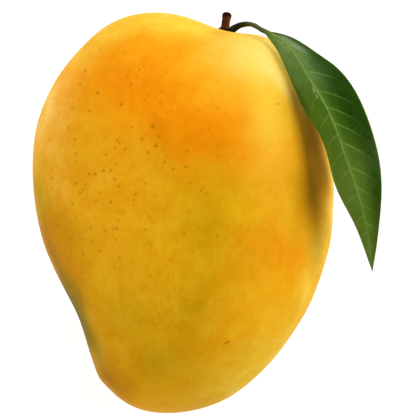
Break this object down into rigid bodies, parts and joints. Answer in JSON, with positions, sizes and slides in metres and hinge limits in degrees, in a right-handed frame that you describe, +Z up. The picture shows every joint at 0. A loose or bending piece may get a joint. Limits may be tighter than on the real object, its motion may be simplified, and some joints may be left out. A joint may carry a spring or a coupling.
{
  "type": "mango",
  "caption": "Ripe yellow mango lying on its flat cheek, with a stub of brown stalk and a glossy green leaf that passes over its right shoulder.",
  "frame": {"origin": "on the small flat spot that the fruit rests on, straight below the middle of its outline", "axes": "+Z up through the upper cheek, +Y towards the stalk end, +X towards the side where the leaf hangs"},
  "size_m": [0.1022, 0.1193, 0.0694],
  "materials": {
    "fruit_skin": "waxy skin, satin",
    "stalk_bark": "rough bark",
    "leaf_blade": "leathery, glossy upper face"
  },
  "bodies": {
    "root": {"fruit": "fruit_skin", "stem": "stalk_bark", "leaf": "leaf_blade"}
  },
  "joints": []
}
